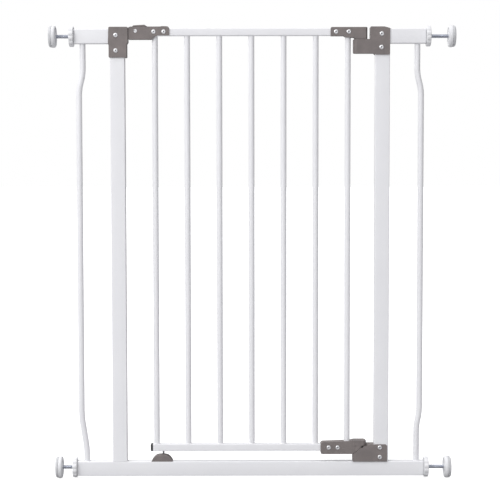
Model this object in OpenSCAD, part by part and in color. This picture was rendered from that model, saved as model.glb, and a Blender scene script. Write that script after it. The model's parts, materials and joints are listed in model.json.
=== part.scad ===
// Pressure-mounted safety gate: a U-shaped tube frame held between two walls by four
// screw spindles, and a swing gate on a rising hinge with a thumb-slide latch.
// X runs along the rail, Y runs to the back and Z runs up. The origin is on the underside
// of the bottom rail, midway between the two uprights. All sizes are in millimetres.

/* [Overall] */
// Clear width between the two uprights
opening_w = 514; // [430:1:620]
// Height of the frame's top above the underside of its bottom rail
frame_h = 926; // [700:1:1115]

/* [Frame tubes] */
// Width of an upright, seen from the front
upright_w = 30; // [25:1:36]
// Height of the bottom rail and of the two top arms
rail_h = 30; // [25:1:36]
// Depth of every frame tube
tube_d = 20; // [18:0.5:24]
// Wall of every square or rectangular tube
tube_wall = 1.2; // [0.8:0.1:2]
// Length that the rail and the arms stand out past the uprights
arm_reach = 73; // [66:1:120]
// Radius of the weld bead in the frame's inner corner
weld_r = 3; // [2:0.5:5]

/* [Bars] */
// Diameter of every round bar
bar_d = 12; // [9:0.5:14]
// Wall of every round bar
bar_wall = 1; // [0.6:0.1:2]
// Number of upright bars in the gate
bar_count = 7; // [5:1:8]
// Distance from an upright to the top end of its side bar
side_bar_gap = 57; // [40:1:62]
// Outward step of a side bar between its bends
side_bar_step = 8; // [4:0.5:12]
// Height of a side bar's bends, apart from the long one at the left foot
bend_len = 56; // [45:1:80]
// Height of the long bend at the foot of the left side bar
long_bend_len = 100; // [80:1:120]
// Straight length above a side bar's top bend
bend_run = 50; // [30:1:80]
// Straight length below the right side bar's lower bend
foot_run = 60; // [30:1:80]
// Straight length below the left side bar's long bend
long_bend_run = 10; // [5:1:30]
// How far the right side bar's foot stands outside its top end
right_foot_shift = 2; // [0:0.5:4]
// How far the left side bar's foot stands inside its top end
left_foot_shift = 2.5; // [0:0.5:4]

/* [Gate] */
// Width and height of the gate's square rails
gate_tube = 15; // [13:0.5:18]
// Gap between the bottom rail and the gate above it
gate_gap = 21.5; // [18:0.5:30]
// How far the gate's top rail reaches above the frame tubes
gate_rise = 1; // [0:0.5:3]
// Gap between the left upright and the end of the gate's rails
latch_gap = 53.6; // [50:0.1:70]
// Distance of the hinge line from the right upright
hinge_inset = 31.4; // [29:0.1:40]
// Distance from the ends of the rails to the first and last bars
bar_inset = 8; // [7:0.5:14]

/* [Hinges] */
// Diameter of both hinge pins
pin_d = 6; // [5:0.5:7]
// Radius of the lower hinge's knuckles
knuckle_r = 12.5; // [11:0.5:13]
// Radius of the hood over the lower hinge
hood_r = 15.7; // [15:0.1:16]
// Radius of the end of the upper hinge arm
arm_end_r = 15.7; // [12:0.1:17]
// Radius of the end of the upper bracket's ear
ear_end_r = 14.3; // [13.6:0.1:16]
// Rise of the slanted hinge seat for each millimetre across it
seat_slope = 0.874; // [0.6:0.01:0.9]
// Clearance on the radius of a pin or bush that turns
run_gap = 0.08; // [0.04:0.01:0.1]
// Gap left at the seam between the two halves of the lower hinge
seam_gap = 0.9; // [0.6:0.1:1.2]

/* [Plastic fittings] */
// Wall of a plastic fitting around its tube
shell_wall = 2.6; // [2:0.1:3.2]
// Diameter of a rivet's shank
rivet_shank_d = 4.8; // [4:0.1:5.5]
// Diameter of a rivet's head
rivet_head_d = 9; // [8:0.1:10]
// Height of a rivet's head
rivet_head_h = 1.2; // [0.8:0.1:1.6]

/* [Latch] */
// Width of the latch bolt
bolt_w = 8; // [6:0.5:9]
// Height of the latch bolt
bolt_h = 8; // [6:0.5:8.5]
// Travel of the thumb slide and its bolt
slide_travel = 8; // [6.5:0.5:8]
// Height that the gate lifts by hand
hand_lift = 6; // [4:0.5:6]
// Sliding clearance around the bolt
bolt_gap = 0.4; // [0.3:0.05:0.5]
// Diameter of the lock pin under the gate
lock_pin_d = 4; // [3:0.5:5]
// Depth that the lock pin enters its keeper
lock_depth = 1.6; // [1:0.1:2.5]

/* [Wall pads] */
// Diameter of a spindle
spindle_d = 8; // [6:0.5:10]
// Length of a spindle
spindle_len = 92; // [80:1:110]
// Height of the lower spindles above the middle of the bottom rail
spindle_rise = 2; // [0:0.5:3]
// Diameter of a hand nut
nut_d = 42.6; // [36:0.1:48]
// Thickness of a hand nut
nut_t = 9.2; // [7:0.1:12]
// Diameter of a wall pad
pad_d = 45.4; // [38:0.1:52]
// Thickness of a wall pad with its rubber face
pad_t = 14; // [11:0.5:16]
// Visible spindle between nut and pad at the top left
reach_top_left = 27.5; // [6:0.5:36]
// Visible spindle between nut and pad at the top right
reach_top_right = 36.5; // [6:0.5:42]
// Visible spindle between nut and pad at the bottom left
reach_bottom_left = 21.5; // [6:0.5:36]
// Visible spindle between nut and pad at the bottom right
reach_bottom_right = 33; // [6:0.5:42]

/* [Hidden] */
$fn = 64;
eps = 0.01;
past = 1;
white = [0.94, 0.94, 0.95];
taupe = [0.47, 0.45, 0.44];
dark = [0.16, 0.16, 0.17];
zinc = [0.66, 0.68, 0.71];

// Places along X
hinge_end_gap = 2.5;
last_bar_shift = 1.5;
lock_shift = 13.5;
post_in = opening_w / 2;
post_mid = post_in + upright_w / 2;
post_out = post_in + upright_w;
frame_end = post_out + arm_reach;
hinge_x = post_in - hinge_inset;
gate_left = -post_in + latch_gap;
gate_right = hinge_x - knuckle_r - hinge_end_gap;
first_bar = gate_left + bar_inset;
last_bar = gate_right - bar_inset - last_bar_shift;
bar_pitch = (last_bar - first_bar) / (bar_count - 1);
lock_x = first_bar + lock_shift;

// Places along Y
bar_r = bar_d / 2;
tube_y = tube_d / 2;
frame_y = tube_y + shell_wall;
gate_y = gate_tube / 2 + shell_wall;
pin_r = pin_d / 2;

// Places along Z
arm_z = frame_h - rail_h;
gate_z = rail_h + gate_gap;
gate_top = frame_h + gate_rise;
gate_rail_top_z = gate_top - gate_tube;
gate_rail_bot_top = gate_z + gate_tube;
fitting_cap = 4;
fitting_top = frame_h + fitting_cap;
low_axis_z = rail_h / 2 + spindle_rise;
high_axis_z = arm_z + rail_h / 2;

// Lower hinge: the seat rises to the right across the knuckle
seat_drop = 7;
seat_rise_x = 7.3;
seat_step_x = 13.7;
seat_step_z = 0.8;
seat_notch = 3.2;
hood_sunk = 3.3;
hood_gap = 0.5;
hood_h = 10.5;
foot_under = 6.2;
insert_w = 13;
insert_sunk = 1.6;
low_pin_cover = 2.3;
seat_z = gate_z - seat_drop;
seat_x = hinge_x - knuckle_r;
seat_end_x = hinge_x + seat_rise_x;
seat_end_z = seat_z + seat_slope * (seat_end_x - seat_x);
seat_flat_x = hinge_x + seat_step_x;
seat_flat_z = seat_end_z + seat_step_z;
bracket_top = seat_flat_z + hood_sunk;
hood_z = seat_flat_z + seam_gap;
hood_top = hood_z + hood_h;
insert_top = hood_z + insert_sunk;
low_pin_top = hood_top - low_pin_cover;

// Upper hinge
ear_over = 8.6;
ear_under = 20.2;
ear_skirt = 2.8;
arm_gap = 0.5;
flange_up = 13;
slot_out = 20.9;
ear_top = arm_z + ear_over;
ear_bottom = arm_z - ear_under;
ear_left = hinge_x - ear_end_r;
arm_under = ear_top + arm_gap;
bush_r = 5.5;
flange_r = 7.5;
flange_z = ear_bottom + flange_up;
flange_h = 3;
slot_right = hinge_x + slot_out;

// Latch
bolt_drop = 1.5;
bolt_tip_gap = 0.7;
keeper_t = 6.8;
latch_end_gap = 0.8;
bolt_in_cover = 33.4;
latch_cap = 3.6;
stem_shift = 19.4;
spring_len = 16;
bolt_z = gate_rail_top_z - bolt_drop;
bolt_tip = -post_in + bolt_tip_gap;
keeper_face = -post_in + keeper_t;
latch_left = keeper_face + latch_end_gap;
bolt_end = latch_left + bolt_in_cover;
channel_end = gate_left - shell_wall;
channel_top = bolt_z + bolt_h + bolt_gap;
latch_top = gate_top + latch_cap;
stem_x0 = latch_left + stem_shift;
stem_w = 8;
stem_half = 3;
spring_r = 2.6;
spring_wire = 0.8;
spring_x0 = bolt_end - spring_len;
spring_bore_r = spring_r + spring_wire / 2 + 0.4;
screw_shift = 14.6;
screw_up = 2.8;
screw_x = latch_left + screw_shift;
screw_z = channel_top + screw_up;

// Wall pads
plug_flange = 1.5;
nut_gap = 0.3;
nut_x = frame_end + plug_flange + nut_gap;
plug_len = 24;
pad_face_t = 5;
thread_gap = 0.1;
stem_in = 4;

corners = [
    ["top_left", -1, high_axis_z, reach_top_left],
    ["top_right", 1, high_axis_z, reach_top_right],
    ["bottom_left", -1, low_axis_z, reach_bottom_left],
    ["bottom_right", 1, low_axis_z, reach_bottom_right],
];
bars = [for (i = [0:bar_count - 1]) first_bar + i * bar_pitch];

// Fineness of the swept side bars
bar_sides = 16;
bend_steps = 4;

// Rivets: [x, z] of each, by the tube that they go through
left_rivets = [[-post_mid - 3, frame_h - 13], [-post_mid - 3, arm_z - 14.5]];
right_rivets = [[post_mid - 2, frame_h - 10.7], [post_mid - 2.5, arm_z - 8]];
low_rivets = [[post_mid - 2.6, rail_h + 29.6], [post_mid - 2.6, rail_h + 9.3]];
latch_rivets = [[first_bar - 2, gate_top - 7], [first_bar + 18.7, gate_top - 7]];
arm_rivets = [[hinge_x - 49, gate_top - 7.4], [hinge_x - 22.8, gate_top - 7.4]];
foot_rivets = [[hinge_x - 62.6, gate_z + 7.5], [hinge_x - 43.9, gate_z + 7.5]];

// ---- Shared shapes ----

// One corner of an outline as a short arc; each point is [x, y, radius]
function corner_arc(a, b, c, steps) =
    let (
        u = [a[0] - b[0], a[1] - b[1]] / norm([a[0] - b[0], a[1] - b[1]]),
        v = [c[0] - b[0], c[1] - b[1]] / norm([c[0] - b[0], c[1] - b[1]]),
        half = acos(u * v) / 2,
        mid = b[2] / sin(half) * (u + v) / norm(u + v),
        start = b[2] / tan(half) * u - mid,
        sweep = (180 - 2 * half) * sign(u[1] * v[0] - u[0] * v[1])
    )
    [for (i = [0:steps]) let (t = sweep * i / steps)
        [b[0] + mid[0] + start[0] * cos(t) - start[1] * sin(t),
         b[1] + mid[1] + start[0] * sin(t) + start[1] * cos(t)]];

// An outline with its corners rounded
function rounded(p, steps = 4) =
    [for (i = [0:len(p) - 1])
        let (a = p[(i + len(p) - 1) % len(p)], b = p[i], c = p[(i + 1) % len(p)])
        each (b[2] == 0 ? [[b[0], b[1]]] : corner_arc(a, b, c, steps))];

// A flat plate with this front outline, between two depths
module plate(outline, y0, y1) {
    translate([0, y1, 0]) rotate([90, 0, 0])
        linear_extrude(y1 - y0) polygon(rounded(outline));
}

// A box between two corners
module block(low, high) {
    translate(low) cube(high - low);
}

// A cylinder along Y through the whole depth, for a rivet or screw
module cross_hole(at, r, depth) {
    translate([at[0], depth, at[1]]) rotate([90, 0, 0]) cylinder(r = r, h = 2 * depth);
}

module shank_holes(places, depth) {
    for (p = places) cross_hole(p, rivet_shank_d / 2, depth);
}

// One half of a fitting: side -1 is the front half and 1 is the back half
module half_of(side, depth) {
    intersection() {
        children();
        block([-2 * post_out, side < 0 ? -depth - past : 0, -past],
              [2 * post_out, side < 0 ? 0 : depth + past, 2 * frame_h]);
    }
}

// A rivet: two domed heads with a centre dimple, on one shank
module rivet(at, depth) {
    for (side = [-1, 1])
        translate([at[0], side * depth, at[1]]) rotate([side * -90, 0, 0]) rivet_head();
    cross_hole(at, rivet_shank_d / 2, depth);
}

module rivet_head() {
    rotate_extrude() polygon([
        [0, 0], [rivet_head_d / 2, 0], [rivet_head_d / 2, 0.4 * rivet_head_h],
        [0.36 * rivet_head_d, rivet_head_h], [0.2 * rivet_head_d, rivet_head_h],
        [0.14 * rivet_head_d, 0.45 * rivet_head_h], [0, 0.45 * rivet_head_h]
    ]);
}

// ---- Frame ----

module tube_x(x0, x1, z0, h, d) {
    difference() {
        block([x0, -d / 2, z0], [x1, d / 2, z0 + h]);
        block([x0 - past, -d / 2 + tube_wall, z0 + tube_wall],
              [x1 + past, d / 2 - tube_wall, z0 + h - tube_wall]);
    }
}

module bottom_rail() {
    color(white) tube_x(-frame_end, frame_end, 0, rail_h, tube_d);
}

module upright(side, rivets) {
    x0 = side < 0 ? -post_out : post_in;
    color(white) difference() {
        block([x0, -tube_y, rail_h], [x0 + upright_w, tube_y, frame_h]);
        block([x0 + tube_wall, -tube_y + tube_wall, rail_h - past],
              [x0 + upright_w - tube_wall, tube_y - tube_wall, frame_h + past]);
        shank_holes(rivets, tube_d);
    }
    color(white) difference() {
        block([side * post_in - (side > 0 ? weld_r : 0), -tube_y + 1, rail_h],
              [side * post_in + (side < 0 ? weld_r : 0), tube_y - 1, rail_h + weld_r]);
        translate([side * (post_in - weld_r), tube_y, rail_h + weld_r])
            rotate([90, 0, 0]) cylinder(r = weld_r, h = tube_d);
    }
}

module left_upright() {
    upright(-1, left_rivets);
}

module right_upright() {
    upright(1, concat(right_rivets, low_rivets));
}

module left_top_arm() {
    color(white) tube_x(-frame_end, -post_out, arm_z, rail_h, tube_d);
}

module right_top_arm() {
    color(white) tube_x(post_out, frame_end, arm_z, rail_h, tube_d);
}

// Centre line of a bend that steps a bar sideways on its way down: two equal arcs joined by
// a slanted straight. Each point is [x, z, lean from the vertical].
function bend_line(x, z, step, length, turn) =
    let (
        way = sign(step),
        arc_r = (length * sin(turn) - abs(step) * cos(turn)) / (2 * (1 - cos(turn)))
    )
    concat(
        [for (i = [0:bend_steps]) let (t = turn * i / bend_steps)
            [x + way * arc_r * (1 - cos(t)), z - arc_r * sin(t), way * t]],
        [for (i = [0:bend_steps]) let (t = turn * (1 - i / bend_steps))
            [x + step - way * arc_r * (1 - cos(t)), z - length + arc_r * sin(t), way * t]]
    );

// Points of one ring around a centre line point
function bar_ring(p, r) =
    [for (j = [0:bar_sides - 1]) let (b = 360 * j / bar_sides)
        [p[0] + r * cos(b) * cos(p[2]), r * sin(b), p[1] + r * cos(b) * sin(p[2])]];

// Faces between successive rings of a swept wall, turned inside out for a bore
function ring_walls(rings, first, inside) =
    [for (i = [0:rings - 2], j = [0:bar_sides - 1])
        let (k = (j + 1) % bar_sides, a = first + i * bar_sides, b = a + bar_sides)
        inside ? [a + j, b + j, b + k, a + k] : [a + j, a + k, b + k, b + j]];

// Faces that close the wall between the outer and the inner ring at one end
function ring_ends(outer, inner, top) =
    [for (j = [0:bar_sides - 1]) let (k = (j + 1) % bar_sides)
        top ? [outer + j, inner + j, inner + k, outer + k]
            : [outer + j, outer + k, inner + k, inner + j]];

// A hollow side bar along this centre line
module side_bar(line) {
    n = len(line);
    count = n * bar_sides;
    points = concat([for (p = line) each bar_ring(p, bar_r)],
                    [for (p = line) each bar_ring(p, bar_r - bar_wall)]);
    faces = concat(ring_walls(n, 0, false), ring_walls(n, count, true),
                   ring_ends(0, count, true),
                   ring_ends(count - bar_sides, 2 * count - bar_sides, false));
    color(white) polyhedron(points, faces);
}

// Centre line of a side bar: x of its top, middle and foot, then the foot's bend
function side_bar_line(x_top, x_mid, x_foot, foot_bend, foot_run, turns) =
    concat(
        [[x_top, arm_z, 0]],
        bend_line(x_top, arm_z - bend_run, x_mid - x_top, bend_len, turns[0]),
        bend_line(x_mid, rail_h + foot_run + foot_bend, x_foot - x_mid, foot_bend,
                  turns[1]),
        [[x_foot, rail_h, 0]]
    );

module left_side_bar() {
    top = -post_out - side_bar_gap;
    side_bar(side_bar_line(top, top - side_bar_step, top + left_foot_shift, long_bend_len,
                           long_bend_run, [14, 9]));
}

module right_side_bar() {
    top = post_out + side_bar_gap;
    side_bar(side_bar_line(top, top + side_bar_step, top + right_foot_shift, bend_len,
                           foot_run, [14, 11]));
}

module tube_end_plugs() {
    for (c = corners) color(white) tube_end_plug(c);
}

module tube_end_plug(c) {
    z0 = c[2] > frame_h / 2 ? arm_z : 0;
    mirror([c[1] < 0 ? 1 : 0, 0, 0]) difference() {
        union() {
            block([frame_end - plug_len, -tube_y + tube_wall, z0 + tube_wall],
                  [frame_end, tube_y - tube_wall, z0 + rail_h - tube_wall]);
            block([frame_end, -tube_y, z0],
                  [frame_end + plug_flange, tube_y, z0 + rail_h]);
        }
        translate([frame_end - plug_len - past, 0, c[2]]) rotate([0, 90, 0])
            cylinder(r = spindle_d / 2 + thread_gap, h = plug_len + plug_flange + 2 * past);
    }
}

// ---- Left keeper: the corner fitting that the bolt locks into ----

left_keeper_outline = [
    [-post_out - 2.6, fitting_top, 2.5], [keeper_face, fitting_top, 2],
    [keeper_face, arm_z + 3, 0], [keeper_face - 2.6, arm_z - 1, 0],
    [keeper_face - 2.6, arm_z - 28.5, 2], [-post_out - 2.4, arm_z - 28.5, 2],
    [-post_out - 2.4, arm_z - 4, 0], [-post_out - 3.6, arm_z, 0],
    [-post_out - 3.6, arm_z + 4, 0]
];

module left_keeper(side) {
    color(taupe) half_of(side, frame_y) difference() {
        plate(left_keeper_outline, -frame_y, frame_y);
        block([-post_out, -tube_y, 0], [-post_in, tube_y, frame_h]);
        block([-frame_end, -tube_y, arm_z], [-post_out + eps, tube_y, frame_h]);
        block([-post_in - eps, -bolt_w / 2 - bolt_gap, bolt_z - bolt_gap],
              [keeper_face + past, bolt_w / 2 + bolt_gap,
               bolt_z + bolt_h + hand_lift + bolt_gap]);
        shank_holes(left_rivets, tube_d);
    }
}

module left_keeper_front() {
    left_keeper(-1);
}

module left_keeper_back() {
    left_keeper(1);
}

// ---- Upper hinge: a corner fitting with an ear, and the gate's arm above it ----

upper_bracket_outline = [
    [slot_right, fitting_top, 2], [post_out - 12, fitting_top, 0],
    [post_out, fitting_top - 3, 2], [post_out, ear_bottom - ear_skirt, 1],
    [post_in, ear_bottom - ear_skirt, 0], [post_in - 3, ear_bottom, 0],
    [ear_left, ear_bottom, 2], [ear_left, ear_top, 3], [slot_right, ear_top, 1.5]
];

module upper_bracket(side) {
    color(taupe) half_of(side, frame_y) difference() {
        plate(upper_bracket_outline, -frame_y, frame_y);
        block([post_in, -tube_y, 0], [post_out, tube_y, frame_h]);
        block([post_out - eps, -tube_y, arm_z], [frame_end, tube_y, frame_h]);
        translate([hinge_x, 0, ear_bottom + 2])
            cylinder(r = bush_r + run_gap, h = ear_top - ear_bottom);
        translate([hinge_x, 0, flange_z - 0.2])
            cylinder(r = flange_r + run_gap, h = flange_h + 0.4);
        ear_end_cut();
        shank_holes(right_rivets, tube_d);
    }
}

// What is outside the rounded end of the ear, so that the gate's last bar can swing past
module ear_end_cut() {
    translate([0, 0, ear_bottom - past]) linear_extrude(ear_top - ear_bottom + 2 * past)
        difference() {
            translate([ear_left - past, -tube_d]) square([ear_end_r + past, 2 * tube_d]);
            translate([hinge_x, 0]) circle(r = ear_end_r);
        }
}

module upper_bracket_front() {
    upper_bracket(-1);
}

module upper_bracket_back() {
    upper_bracket(1);
}

module upper_hinge_bush() {
    color(white) translate([hinge_x, 0, 0]) difference() {
        union() {
            translate([0, 0, ear_bottom + 2.3])
                cylinder(r = bush_r, h = ear_top - ear_bottom - 2.6);
            translate([0, 0, flange_z]) cylinder(r = flange_r, h = flange_h);
        }
        translate([0, 0, ear_bottom]) cylinder(r = pin_r + run_gap, h = 2 * rail_h);
    }
}

hinge_arm_outline = [
    [hinge_x - 60.3, gate_rail_top_z - 0.5, 2], [hinge_x - 60.3, gate_top + 2.2, 3],
    [hinge_x + arm_end_r, gate_top + 2.2, 2], [hinge_x + arm_end_r, arm_under, 1.5],
    [hinge_x - 10.5, arm_under, 1], [hinge_x - 12.5, arm_under + 3, 1],
    [hinge_x - 28.5, arm_under + 3, 3], [hinge_x - 33.5, gate_rail_top_z - 0.5, 3]
];

module hinge_arm(side) {
    color(taupe) half_of(side, gate_y) difference() {
        plate(hinge_arm_outline, -gate_y, gate_y);
        block([gate_left, -gate_tube / 2, gate_rail_top_z],
              [gate_right, gate_tube / 2, gate_top]);
        arm_end_cut();
        translate([last_bar, 0, arm_z]) cylinder(r = bar_r, h = rail_h);
        translate([hinge_x, 0, arm_under - past])
            cylinder(r = pin_r, h = gate_top - 1 - arm_under + past);
        shank_holes(arm_rivets, tube_d);
    }
}

// What is outside the rounded end of the upper hinge arm
module arm_end_cut() {
    translate([0, 0, arm_under - past]) linear_extrude(rail_h + gate_tube)
        difference() {
            translate([hinge_x, -tube_d]) square([2 * arm_end_r, 2 * tube_d]);
            translate([hinge_x, 0]) circle(r = arm_end_r);
        }
}

module hinge_arm_front() {
    hinge_arm(-1);
}

module hinge_arm_back() {
    hinge_arm(1);
}

module upper_hinge_pin() {
    color(zinc) translate([hinge_x, 0, ear_bottom + 3])
        cylinder(r = pin_r, h = gate_top - 1 - ear_bottom - 3);
}

// ---- Lower hinge: a slanted seat on the frame, and the foot of the gate on it ----

lower_bracket_outline = [
    [seat_x, rail_h, 0], [seat_x, seat_z, 0],
    [seat_end_x - seat_notch, seat_end_z - seat_slope * seat_notch, 0],
    [seat_end_x + 1, seat_end_z - seat_slope * seat_notch, 0],
    [seat_end_x + 3, seat_flat_z, 0], [hinge_x + hood_r + hood_gap, seat_flat_z, 0],
    [hinge_x + hood_r + hood_gap, bracket_top, 0.8],
    [post_out - 2.6, bracket_top, 4.5], [post_out - 2.6, rail_h, 0]
];

module lower_bracket(side) {
    color(taupe) half_of(side, frame_y) difference() {
        plate(lower_bracket_outline, -frame_y, frame_y);
        block([post_in, -tube_y, 0], [post_out, tube_y, frame_h]);
        if (side > 0) seat_side_cut();
        translate([hinge_x, 0, rail_h - past]) cylinder(r = pin_r, h = 2 * rail_h);
        translate([hinge_x, 0, rail_h - past]) cylinder(r = 2 * pin_r, h = 2 + past);
        translate([post_in - weld_r, -tube_y, rail_h - past])
            cube([weld_r, tube_d, weld_r + past]);
        shank_holes(low_rivets, tube_d);
    }
}

// What is outside the round knuckle above the level of the gate's foot, on the side
// that the gate swings to
module seat_side_cut() {
    translate([0, 0, seat_z]) linear_extrude(rail_h + gate_gap) difference() {
        translate([seat_x - past, -tube_d]) square([knuckle_r + 10.5 + past, 2 * tube_d]);
        translate([hinge_x, 0]) circle(r = knuckle_r);
    }
}

module lower_bracket_front() {
    lower_bracket(-1);
}

module lower_bracket_back() {
    lower_bracket(1);
}

module lower_hinge_pin() {
    color(zinc) translate([hinge_x, 0, rail_h]) {
        cylinder(r = pin_r, h = low_pin_top - rail_h);
        cylinder(r = 2 * pin_r, h = 2);
    }
}

// The space above the slanted seat, lifted by a gap
module above_seat(gap, w) {
    plate([[seat_x - past, seat_z - seat_slope * past + gap, 0],
           [seat_end_x, seat_end_z + gap, 0], [seat_flat_x, seat_flat_z + gap, 0],
           [hinge_x + 2 * knuckle_r, seat_flat_z + gap, 0],
           [hinge_x + 2 * knuckle_r, frame_h, 0], [seat_x - past, frame_h, 0]], -w, w);
}

module hinge_cam_insert() {
    color(dark) intersection() {
        above_seat(seam_gap / 2, insert_w);
        difference() {
            block([hinge_x - insert_w / 2, -insert_w / 2, seat_z],
                  [hinge_x + insert_w / 2, insert_w / 2, insert_top]);
            translate([hinge_x, 0, seat_z - past]) cylinder(r = pin_r + run_gap, h = rail_h);
        }
    }
}

hinge_foot_outline = [
    [hinge_x - 79.6, gate_z - foot_under, 4], [hinge_x - 79.6, gate_rail_bot_top + 3.6, 5],
    [hinge_x - 18.1, gate_rail_bot_top + 5.8, 2], [hinge_x - 14.1, hood_top, 2],
    [hinge_x + hood_r, hood_top, 3], [hinge_x + hood_r, hood_z, 0],
    [seat_flat_x, hood_z, 0], [seat_end_x, seat_end_z + seam_gap, 0],
    [seat_x, gate_z - foot_under, 0]
];

module hinge_foot(side) {
    color(taupe) half_of(side, frame_y) difference() {
        intersection() {
            plate(hinge_foot_outline, -frame_y, frame_y);
            foot_plan();
        }
        block([gate_left, -gate_tube / 2, gate_z],
              [gate_right, gate_tube / 2, gate_rail_bot_top]);
        translate([last_bar, 0, gate_z]) cylinder(r = bar_r, h = rail_h);
        block([hinge_x - insert_w / 2 - bolt_gap, -insert_w / 2 - bolt_gap, seat_z],
              [hinge_x + insert_w / 2 + bolt_gap, insert_w / 2 + bolt_gap,
               insert_top + seam_gap / 2]);
        translate([hinge_x, 0, seat_z])
            cylinder(r = pin_r + run_gap, h = low_pin_top + 0.5 - seat_z);
        shank_holes(foot_rivets, tube_d);
    }
}

// Plan of the gate's foot: a flat arm with a round knuckle under a wider hood
module foot_plan() {
    block([hinge_x - 90, -gate_y, rail_h], [hinge_x, gate_y, frame_h]);
    translate([hinge_x, 0, rail_h]) cylinder(r = knuckle_r, h = 2 * rail_h);
    translate([hinge_x, 0, hood_z]) cylinder(r = hood_r, h = 2 * rail_h);
}

module hinge_foot_front() {
    hinge_foot(-1);
}

module hinge_foot_back() {
    hinge_foot(1);
}

// ---- Gate ----

module gate_top_rail() {
    color(white) difference() {
        tube_x(gate_left, gate_right, gate_rail_top_z, gate_tube, gate_tube);
        shank_holes(concat(latch_rivets, arm_rivets), tube_d);
    }
}

module gate_bottom_rail() {
    color(white) difference() {
        tube_x(gate_left, gate_right, gate_z, gate_tube, gate_tube);
        shank_holes(foot_rivets, tube_d);
        translate([lock_x, 0, gate_z - past])
            cylinder(r = lock_pin_d / 2, h = tube_wall + 2 * past);
    }
}

module gate_bar(x) {
    color(white) translate([x, 0, gate_rail_bot_top]) difference() {
        cylinder(r = bar_r, h = gate_rail_top_z - gate_rail_bot_top);
        translate([0, 0, -past])
            cylinder(r = bar_r - bar_wall, h = gate_rail_top_z - gate_rail_bot_top + 2 * past);
    }
}

module rail_end_cap() {
    color(dark) {
        plate([[gate_left - 5, gate_z, 2], [gate_left - 5, gate_rail_bot_top, 2],
               [gate_left, gate_rail_bot_top, 0], [gate_left, gate_z, 0]],
              -gate_tube / 2, gate_tube / 2);
        block([gate_left, -gate_tube / 2 + tube_wall, gate_z + tube_wall],
              [gate_left + 10, gate_tube / 2 - tube_wall, gate_rail_bot_top - tube_wall]);
    }
}

// ---- Lock pin under the gate, and its domed keeper on the rail ----

dome_w = 44;
dome_h = 15.3;
dome_r = (dome_w * dome_w / 4 + dome_h * dome_h) / (2 * dome_h);
dome_x = lock_x - 2.5;
dome_back_r = 15;

module lock_pin_keeper() {
    color(taupe) difference() {
        intersection() {
            translate([dome_x, tube_y, rail_h + dome_h - dome_r]) rotate([90, 0, 0])
                cylinder(r = dome_r, h = tube_d);
            translate([dome_x - dome_w, 0, rail_h + dome_h - dome_back_r])
                rotate([0, 90, 0]) cylinder(r = dome_back_r, h = 2 * dome_w);
            block([dome_x - dome_w, -tube_y + 0.5, rail_h],
                  [dome_x + dome_w, tube_y - 0.5, frame_h]);
        }
        translate([lock_x, 0, rail_h + dome_h - lock_depth - 0.6])
            cylinder(r = lock_pin_d / 2 + 0.5, h = rail_h);
    }
}

module lock_pin() {
    pin_z = rail_h + dome_h - lock_depth;
    color(dark) translate([lock_x, 0, 0]) {
        translate([0, 0, pin_z])
            cylinder(r = lock_pin_d / 2, h = gate_z + tube_wall + 2 - pin_z);
        translate([0, 0, gate_z + tube_wall]) cylinder(r = 4.5, h = 2.5);
    }
}

// ---- Latch ----

latch_outline = [
    [latch_left, bolt_z - 5.8, 1.5], [latch_left, latch_top - 1, 3],
    [latch_left + 6, latch_top, 0], [gate_left + 19, latch_top, 0],
    [gate_left + 23, latch_top + 0.8, 0], [gate_left + 38, latch_top + 0.4, 5],
    [gate_left + 38, gate_rail_top_z + 0.7, 1], [gate_left + 14.3, gate_rail_top_z + 0.7, 0],
    [gate_left + 7.7, gate_rail_top_z - 2, 0], [gate_left + 2.2, bolt_z - 5.8, 1.5]
];

module latch_cover(side) {
    color(taupe) half_of(side, gate_y) difference() {
        plate(latch_outline, -gate_y, gate_y);
        block([gate_left, -gate_tube / 2, gate_rail_top_z],
              [gate_right, gate_tube / 2, gate_top]);
        translate([first_bar, 0, arm_z]) cylinder(r = bar_r, h = rail_h);
        block([latch_left - past, -bolt_w / 2 - bolt_gap, bolt_z - bolt_gap],
              [channel_end, bolt_w / 2 + bolt_gap, channel_top]);
        block([stem_x0 - bolt_gap, -stem_half - bolt_gap, channel_top - past],
              [stem_x0 + stem_w + slide_travel + bolt_gap, stem_half + bolt_gap,
               latch_top + 2 * past]);
        latch_screw_shape();
        shank_holes(latch_rivets, tube_d);
    }
}

module latch_cover_front() {
    latch_cover(-1);
}

module latch_cover_back() {
    latch_cover(1);
}

module latch_screw_shape() {
    translate([screw_x, gate_y - 2, screw_z]) rotate([90, 0, 0])
        cylinder(r = 1.5, h = 2 * gate_y - 2.6);
    translate([screw_x, -gate_y + 1.2, screw_z]) rotate([90, 0, 0])
        cylinder(r = 3.6, h = 1.2 + past / 2);
}

module latch_screw() {
    color(zinc) difference() {
        latch_screw_shape();
        translate([screw_x, -gate_y - past, screw_z])
            cube([7, 2.2, 1], center = true);
    }
}

module thumb_slide() {
    color(taupe) {
        plate([[latch_left + 7.8, latch_top + 0.3, 0], [latch_left + 10.6, latch_top + 2.6, 1.5],
               [latch_left + 33, latch_top + 4, 1.5], [latch_left + 39.2, latch_top + 0.3, 0]],
              -bolt_w, bolt_w);
        block([stem_x0, -stem_half, bolt_z + bolt_h],
              [stem_x0 + stem_w, stem_half, latch_top + 0.3]);
    }
}

module latch_bolt() {
    color(dark) difference() {
        block([bolt_tip, -bolt_w / 2, bolt_z], [bolt_end, bolt_w / 2, bolt_z + bolt_h]);
        translate([spring_x0, 0, bolt_z + bolt_h / 2]) rotate([0, 90, 0])
            cylinder(r = spring_bore_r, h = bolt_end - spring_x0 + past);
    }
}

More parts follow.
